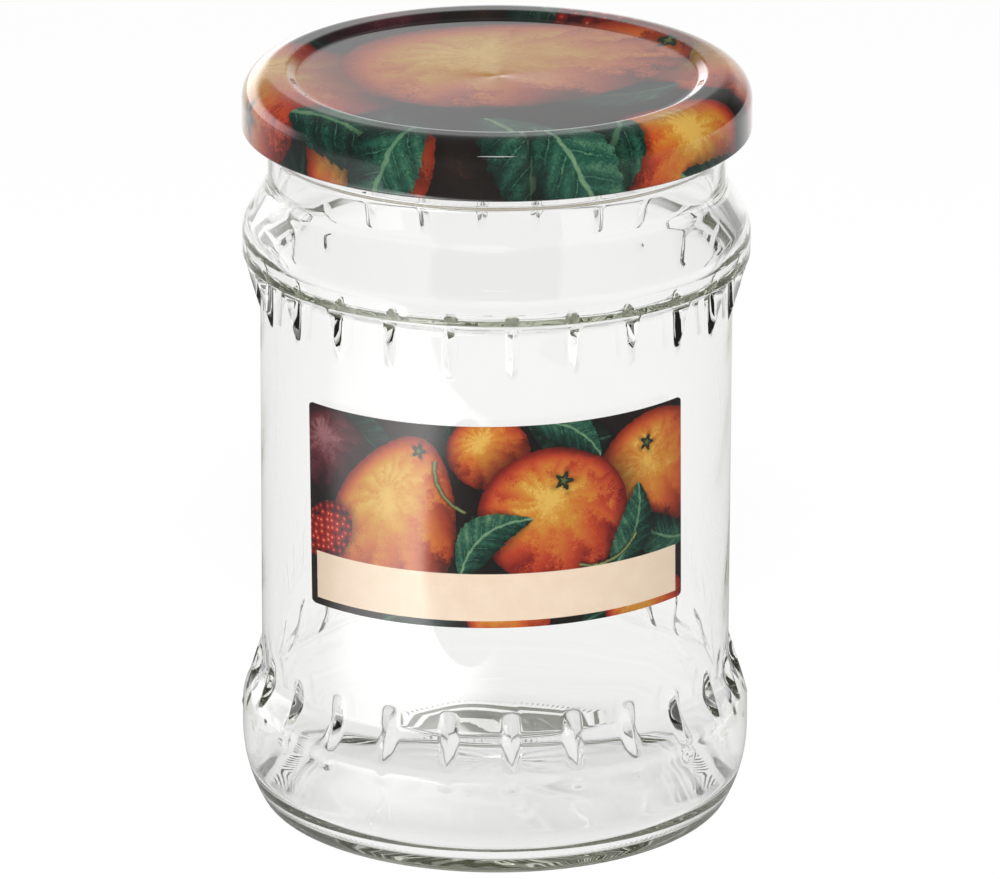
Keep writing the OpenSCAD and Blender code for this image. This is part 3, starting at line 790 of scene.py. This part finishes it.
def lidPrint(sheet):
    for x, y, turn in ((-22, 16, 160), (22, 20, 40), (-18, -22, -100), (50, 26, 20), (-44, -40, 30)):
        sheet.leaf(x, y, 30, 17, turn, 0.1, -0.22)
    sheet.fruit("plum", -24, 32, 30, 28, 20, 0.05, (-0.2, 0.35))
    sheet.leaf(-44, 22, 32, 16, 50, -0.12)
    sheet.leaf(6, 50, 32, 16, -60, -0.15)
    sheet.berries(24, 33, 32, 24, 35)
    sheet.fruit("apricot", 42, 8, 40, 38, 0, 0.0, (-0.2, 0.25))
    sheet.fruit("apple", -38, -6, 48, 44, 0, 0.0, (-0.15, 0.2))
    sheet.lay("calyx", -44, -12, size=2.4)
    sheet.leaf(30, -4, 26, 13, -170, 0.2, -0.1)
    sheet.fruit("pear", 4, 8, 62, 46, 24, 0.22, (-0.25, 0.2))
    sheet.lay("calyx", 29, 19, size=2.0)
    sheet.fruit("apple", 36, -32, 36, 32, 0, 0.0, (-0.2, 0.3))
    sheet.fruit("apricot", -24, -40, 28, 24, 0, 0.0, (-0.1, 0.3))
    sheet.leaf(-34, -22, 32, 16, -60, 0.12, 0.0)
    sheet.leaf(-2, -24, 34, 19, -76, 0.1, 0.02)
    sheet.leaf(20, -26, 32, 17, -118, 0.16, -0.04)
    sheet.leaf(6, -30, 34, 17, -40, -0.15, 0.04)
    sheet.leaf(-12, -30, 30, 15, -140, 0.12, -0.02)
    sheet.leaf(54, -12, 30, 15, -130, 0.18, 0.04)


def labelPrint(sheet):
    for x, y, turn in ((-36, 2, 60), (-30, 16, -30), (-8, 12, 40), (-4, 2, -60), (20, 14, 160), (22, -4, 40),
                       (36, -6, 120), (0, -6, 20), (-20, -18, 10), (14, -18, 0)):
        sheet.leaf(x, y, 16, 9, turn, 0.12, -0.16)
    sheet.fruit("plum", -30, 10, 17, 16, 0, 0.0, (-0.2, 0.3))
    sheet.fruit("apricot", -1, 13, 14, 13, 0, 0.0, (-0.2, 0.3))
    sheet.fruit("apricot", 29, 6, 24, 22, 10, 0.0, (-0.2, 0.25))
    sheet.lay("calyx", 27, 11.5, size=1.1)
    sheet.leaf(36, -7, 15, 8, 150, 0.12)
    sheet.fruit("pear", -17, 1, 30, 22, 70, 0.3, (-0.15, 0.3))
    sheet.lay("calyx", -12.6, 12.8, size=1.0)
    sheet.fruit("apple", 10, 1.5, 26, 24, 0, 0.0, (-0.1, 0.2))
    sheet.lay("calyx", 11.5, 7.5, size=1.3)
    sheet.leaf(-6, -9, 16, 8, 40, 0.2, 0.05)
    sheet.leaf(20, -9, 15, 8, 70, -0.15)
    sheet.leaf(6, 18, 14, 7, -30, 0.15, 0.02)
    sheet.berries(-31, -4, 13, 9, 40)
    sheet.fruit("apricot", 2, -16, 14, 11, 0, 0.0)
    sheet.fruit("apple", 27, -17, 17, 12, 0, 0.0)
    sheet.stalk(-2, 10, 8, 170, 250, 0.6)
    sheet.stalk(17, 1, 9, 250, 330, 0.6)


tinLook = {
    "printScale": 1.0,
    "lacquer": ((0.0, srgb(205, 186, 140)), (1.0, srgb(224, 208, 166))),      # on the lid's inside
    "peel": {"Scale": 420, "Detail": 1.0}, "peelBump": {"Strength": 0.04, "Distance": 0.0002},
    "roughness": 0.16, "brushRoughness": 0.1,
    "finish": {"IOR": 1.45, "Specular IOR Level": 0.03, "Coat Weight": 1.0, "Coat Roughness": 0.025,
               "Coat IOR": 1.5},
}


def makeTinplate(look):
    material, start = newMaterial("printedTinplate")
    sheet = Sheet(start, look["printScale"])
    lidPrint(sheet)
    colour = sheet.withBack((sheet.patch + 0.5).ramp(look["lacquer"]))
    peel = start.node("ShaderNodeTexNoise", {}, {
        "Vector": start.node("ShaderNodeTexCoord", output="Object"), **look["peel"]})
    bump = start.node("ShaderNodeBump", {}, {**look["peelBump"], "Height": peel})
    rough = sheet.brush * look["brushRoughness"] + look["roughness"]
    surface = start.node("ShaderNodeBsdfPrincipled", {}, {
        "Base Color": colour, "Roughness": rough, "Normal": bump, **look["finish"]})
    putOut(start, surface)
    return material


lid.data.materials.append(makeTinplate(tinLook))
print("lid print:", len(lid.data.materials[0].node_tree.nodes), "nodes")

paperLook = {
    "printScale": 0.5,
    # the blank writing panel, in mm from the label's middle; the print is left as a thin border round it
    "panelHalfW": 33.5, "panelTopDown": 8.1, "panelFootDown": 16.3, "panelEdge": 0.05,
    "panel": ((0.2, srgb(228, 204, 178)), (0.8, srgb(238, 218, 194))),
    "back": srgb(226, 224, 218),
    "grain": {"Scale": 3.0, "Detail": 4.0}, "grainBump": {"Strength": 0.06, "Distance": 0.0001},
    "roughness": 0.14, "grainRoughness": 0.05,
    "ior": 1.5,
}


def makeLabelPaper(look):
    material, start = newMaterial("labelPaper")
    sheet = Sheet(start, look["printScale"])
    labelPrint(sheet)
    x = start.node("ShaderNodeSeparateXYZ", {}, {0: sheet.place}, output=0)
    y = start.node("ShaderNodeSeparateXYZ", {}, {0: sheet.place}, output=1)
    halfW, edge = look["panelHalfW"], look["panelEdge"]
    panel = x.absolute().step(halfW + edge, halfW - edge) * (y + look["panelTopDown"]).step(edge, -edge)
    panel = panel * (y + look["panelFootDown"]).step(-edge, edge)
    grain = start.node("ShaderNodeTexNoise", {}, {"Vector": sheet.place, **look["grain"]})
    blank = (grain * 0.5 + sheet.patch * 0.5 + 0.25).ramp(look["panel"])
    sheet.colour = panel.over(sheet.colour, blank)
    colour = sheet.withBack((*look["back"], 1))
    bump = start.node("ShaderNodeBump", {}, {**look["grainBump"], "Height": grain})
    rough = grain * look["grainRoughness"] + look["roughness"]
    surface = start.node("ShaderNodeBsdfPrincipled", {}, {
        "Base Color": colour, "Roughness": rough, "IOR": look["ior"], "Normal": bump})
    putOut(start, surface)
    return material


label.data.materials.append(makeLabelPaper(paperLook))
print("label print:", len(label.data.materials[0].node_tree.nodes), "nodes")

compoundLook = {
    "cream": ((0.25, srgb(214, 206, 186)), (0.75, srgb(232, 226, 210))),
    "speck": {"Scale": 900, "Detail": 3.0}, "speckShare": 0.4,
    "flow": {"Scale": 120, "Detail": 2.0}, "flowShare": 0.6,
    "flowBump": {"Strength": 0.2, "Distance": 0.0002},
    "roughness": 0.45, "speckRoughness": 0.15,
    "ior": 1.45,
}


def makeCompound(look):
    material, start = newMaterial("sealingCompound")
    place = start.node("ShaderNodeTexCoord", output="Object")
    speck = start.node("ShaderNodeTexNoise", {}, {"Vector": place, **look["speck"]})
    flow = start.node("ShaderNodeTexNoise", {}, {"Vector": place, **look["flow"]})
    colour = (speck * look["speckShare"] + flow * look["flowShare"]).ramp(look["cream"])
    bump = start.node("ShaderNodeBump", {}, {**look["flowBump"], "Height": flow})
    rough = speck * look["speckRoughness"] + look["roughness"]
    surface = start.node("ShaderNodeBsdfPrincipled", {}, {
        "Base Color": colour, "Roughness": rough, "IOR": look["ior"], "Normal": bump})
    putOut(start, surface)
    return material


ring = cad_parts["sealing_ring"]
compound = makeCompound(compoundLook)
for slot in range(max(1, len(ring.data.materials))):
    if len(ring.data.materials) > slot:
        ring.data.materials[slot] = compound
    else:
        ring.data.materials.append(compound)
print("sealing ring dressed")


studio = {                    # metres, but the painted glow patch's values are in mm
    "floorSize": 6.0, "floorDrop": 0.0002,
    "floorWhite": 0.8, "grainWhite": 0.02, "grain": {"Scale": 40, "Detail": 2.0},
    "floorGlow": 0.86,           # share of the floor's white that is its own, which leaves a soft shadow
    "throughGlow": 0.82,         # the same share for the floor that shows through glass
    "glow": 1.08,                # how white that glow is
    # the paper ends beside and before the jar, as glass shows it, and past it the floor is less light
    "paperHalf": 0.24, "paperFront": 0.6, "paperFade": 0.4, "besidePaper": 0.4,
    "floorShine": 0.35,          # what the floor in front looks like in the lid and the glass
    "backShine": 1.0, "backFrom": (60, 400),      # and behind, in mm
    "paintedGlowShine": 7.0,            # a painted glow: a bright patch at the left of the floor, no lamp, seen by gloss rays alone, which the label's varnish shows
    "paintedGlowAt": (-45, -203), "paintedGlowR": 67, "paintedGlowEdge": 3, "paintedGlowReach": 150, "paintedGlowFall": 1.3,
    "paintedGlowRight": (10, -60), "paintedGlowBack": (15, 70), "paintedGlowFront": (278, 266),    # where it fades in x and -y
    "keyAt": (0.0, -0.755, 0.776), "keySize": (0.44, 0.23), "keyPower": 7.0,
    "stripAt": (0.0, -0.72, 0.86), "stripSize": (0.26, 0.04), "stripPower": 0.5,
    "hazeSize": (0.3, 0.3), "hazePower": 0.35,
    "fillAt": ((-1.2, -0.9, 0.9), (1.2, -0.9, 0.9)), "fillSize": 0.9, "fillPower": 4.0,
    "aimAt": (0, 0, 0.09),
}


def makeFloor(look):
    half, low = look["floorSize"] / 2, -look["floorDrop"]
    points = [[-half, -half, low], [half, -half, low], [half, half, low], [-half, half, low]]
    floor = meshPiece("floor", points, [[0, 1, 2, 3]])
    material, start = newMaterial("paleFloor")
    camera = start.node("ShaderNodeLightPath", output="Is Camera Ray")
    through = start.node("ShaderNodeLightPath", output="Is Transmission Ray")
    glossy = start.node("ShaderNodeLightPath", output="Is Glossy Ray") * (1 - through)  # glass sets both
    place = start.node("ShaderNodeTexCoord", output="Object")
    x = start.node("ShaderNodeSeparateXYZ", {}, {0: place}, output=0) / mm
    y = start.node("ShaderNodeSeparateXYZ", {}, {0: place}, output=1) / mm
    before = -1 * y
    # painted glow: a bright patch of the floor's own emission, for gloss rays only, that no lamp lights
    dx, dy = x - look["paintedGlowAt"][0], y - look["paintedGlowAt"][1]
    away = (dx * dx + dy * dy).root()
    onPaintedGlow = away.step(look["paintedGlowR"], look["paintedGlowR"] + look["paintedGlowEdge"]) * x.step(*look["paintedGlowRight"])
    onPaintedGlow = onPaintedGlow * before.step(*look["paintedGlowBack"]) * before.step(*look["paintedGlowFront"])
    fall = (away - look["paintedGlowR"]) / look["paintedGlowReach"] * -look["paintedGlowFall"]
    paintedGlow = onPaintedGlow * fall.apply("EXPONENT") * look["paintedGlowShine"]
    back = y.step(*look["backFrom"])
    shine = look["floorShine"] + back * (look["backShine"] - look["floorShine"]) + paintedGlow
    grain = start.node("ShaderNodeTexNoise", {}, {"Vector": place, **look["grain"]})
    levels = (look["floorWhite"], look["floorWhite"] + look["grainWhite"])
    matt = start.node("ShaderNodeBsdfDiffuse", {}, {
        "Color": grain.ramp([(share, (level,) * 3) for share, level in enumerate(levels)])})
    beside = (x * mm).absolute().step(look["paperHalf"], look["paperHalf"] + look["paperFade"])
    beside = beside.most((y * -mm).step(look["paperFront"], look["paperFront"] + look["paperFade"]))
    paper = 1 - beside * through * (1 - camera) * (1 - look["besidePaper"])
    glow = start.node("ShaderNodeEmission", {}, {"Color": paper * look["glow"]})
    sheen = start.node("ShaderNodeEmission", {}, {"Color": shine})
    seen = camera * look["floorGlow"] + through * (1 - camera) * look["throughGlow"]
    surface = start.node("ShaderNodeMixShader", {}, {0: seen, 1: matt, 2: glow})
    surface = start.node("ShaderNodeMixShader", {}, {0: glossy, 1: surface, 2: sheen})
    putOut(start, surface)
    floor.data.materials.append(material)


makeFloor(studio)

skyLook = {                   # levels of white; heights are the sine of the elevation, from 0 to 1 overhead
    "backdrop": ((0.0, 1.0), (0.2, 1.0), (0.33, 0.3), (0.57, 0.25), (0.75, 0.25)),
    "room": ((0.0, 0.4), (0.4, 0.35), (0.75, 0.25)),
    "backdropFrom": (-0.2, 0.4),
    "dim": 0.1, "dimRight": (0.25, 0.7), "dimLeft": (-0.4, -0.9), "dimLeftShare": 0.6,
    # a lighter patch low at the back left, which shows in gloss alone
    "low": 2.6, "lowTop": (0.33, 0.18), "lowBack": (0.0, 0.5), "lowLeft": (0.1, -0.1),
}


def makeSky(look):
    world = bpy.data.worlds.new("studio")
    bpy.context.scene.world = world
    world.use_nodes = True
    world.node_tree.nodes.clear()
    start = Socket(world.node_tree)
    direction = start.node("ShaderNodeTexCoord", output="Generated")
    height = start.node("ShaderNodeSeparateXYZ", {}, {0: direction}, output=2)
    behind = start.node("ShaderNodeSeparateXYZ", {}, {0: direction}, output=1)
    aside = start.node("ShaderNodeSeparateXYZ", {}, {0: direction}, output=0)
    backdrop = height.ramp([(place, (level,) * 3) for place, level in look["backdrop"]])
    room = height.ramp([(place, (level,) * 3) for place, level in look["room"]])
    sky = behind.step(*look["backdropFrom"]).over(room, backdrop)
    dim = aside.step(*look["dimRight"]).most(aside.step(*look["dimLeft"]) * look["dimLeftShare"])
    sky = dim.over(sky, (look["dim"],) * 3 + (1,))
    camera = start.node("ShaderNodeLightPath", output="Is Camera Ray")
    sky = camera.over(sky, (1, 1, 1, 1))
    through = start.node("ShaderNodeLightPath", output="Is Transmission Ray")
    glossy = start.node("ShaderNodeLightPath", output="Is Glossy Ray") * (1 - through)
    low = height.step(*look["lowTop"]) * behind.step(*look["lowBack"]) * aside.step(*look["lowLeft"])
    sky = (glossy * low).over(sky, (look["low"],) * 3 + (1,))
    background = start.node("ShaderNodeBackground", {}, {"Color": sky})
    start.node("ShaderNodeOutputWorld", {}, {"Surface": background})


makeSky(skyLook)


def softBox(name, place, size, power, shown=True):
    lamp = bpy.data.lights.new(name, "AREA")
    lamp.shape, lamp.size, lamp.size_y, lamp.energy = "ELLIPSE", size[0], size[1], power
    holder = bpy.data.objects.new(name, lamp)
    holder.location = place
    holder.rotation_euler = (Vector(studio["aimAt"]) - Vector(place)).to_track_quat("-Z", "Y").to_euler()
    holder.visible_glossy = holder.visible_transmission = shown
    bpy.context.scene.collection.objects.link(holder)


# the key lights the jar unseen; a strip and a weak haze are what the glass and the lid show of it
softBox("keyLight", studio["keyAt"], studio["keySize"], studio["keyPower"], shown=False)
softBox("strip", studio["stripAt"], studio["stripSize"], studio["stripPower"])
softBox("haze", studio["keyAt"], studio["hazeSize"], studio["hazePower"])
for side, place in enumerate(studio["fillAt"]):
    softBox("fillLight" + str(side), place, (studio["fillSize"],) * 2, studio["fillPower"], shown=False)

cameraLook = {                # mm for the lens and sensor, metres, radians
    "lens": 316.97, "sensor": 36.0,
    "place": (-0.000008, -1.3987, 0.5481), "down": 0.3337, "aside": 0.0005, "roll": 0.0034,
}


def makeCamera(look):
    data = bpy.data.cameras.new("camera")
    data.lens, data.sensor_width, data.clip_end = look["lens"], look["sensor"], 50
    camera = bpy.data.objects.new("camera", data)
    ahead = Vector((math.sin(look["aside"]) * math.cos(look["down"]),
                    math.cos(look["aside"]) * math.cos(look["down"]), -math.sin(look["down"])))
    right = Vector((math.cos(look["aside"]), -math.sin(look["aside"]), 0))
    up = right.cross(ahead)
    cos, sin = math.cos(look["roll"]), math.sin(look["roll"])
    right, up = right * cos + up * sin, up * cos - right * sin
    camera.matrix_world = Matrix((
        (right.x, up.x, -ahead.x, look["place"][0]),
        (right.y, up.y, -ahead.y, look["place"][1]),
        (right.z, up.z, -ahead.z, look["place"][2]),
        (0, 0, 0, 1)))
    bpy.context.scene.collection.objects.link(camera)
    bpy.context.scene.camera = camera


makeCamera(cameraLook)

scene = bpy.context.scene
scene.view_settings.view_transform = "Standard"
scene.cycles.max_bounces = 48            # light runs a long way inside the walls of glass
scene.cycles.transmission_bounces = 40
scene.cycles.glossy_bounces = 40
scene.cycles.transparent_max_bounces = 12
print("stage, light and camera ready")
